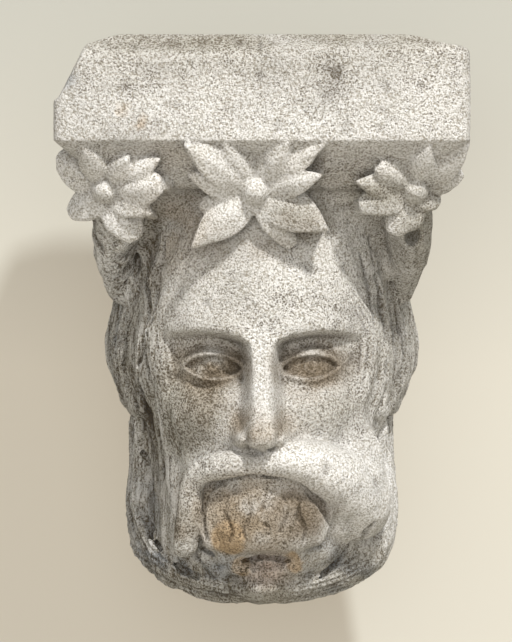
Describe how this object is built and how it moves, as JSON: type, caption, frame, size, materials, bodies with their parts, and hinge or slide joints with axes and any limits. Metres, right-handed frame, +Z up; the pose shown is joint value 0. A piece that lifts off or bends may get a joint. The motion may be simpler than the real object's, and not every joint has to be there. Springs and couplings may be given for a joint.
{
  "type": "stone corbel",
  "caption": "Carved stone corbel: a bearded head under a chamfered slab, with leaf sprays at the middle and corners, to be built into a wall.",
  "frame": {"origin": "middle of the flat wall face, halfway up the corbel", "axes": "+Y into the wall, -Y the way the head looks, +X to the viewer's right, +Z up"},
  "size_m": [0.28, 0.2335, 0.3976],
  "materials": {
    "limestone": "weathered, matt, pitted and stained"
  },
  "bodies": {
    "root": {"corbel": "limestone"}
  },
  "joints": []
}
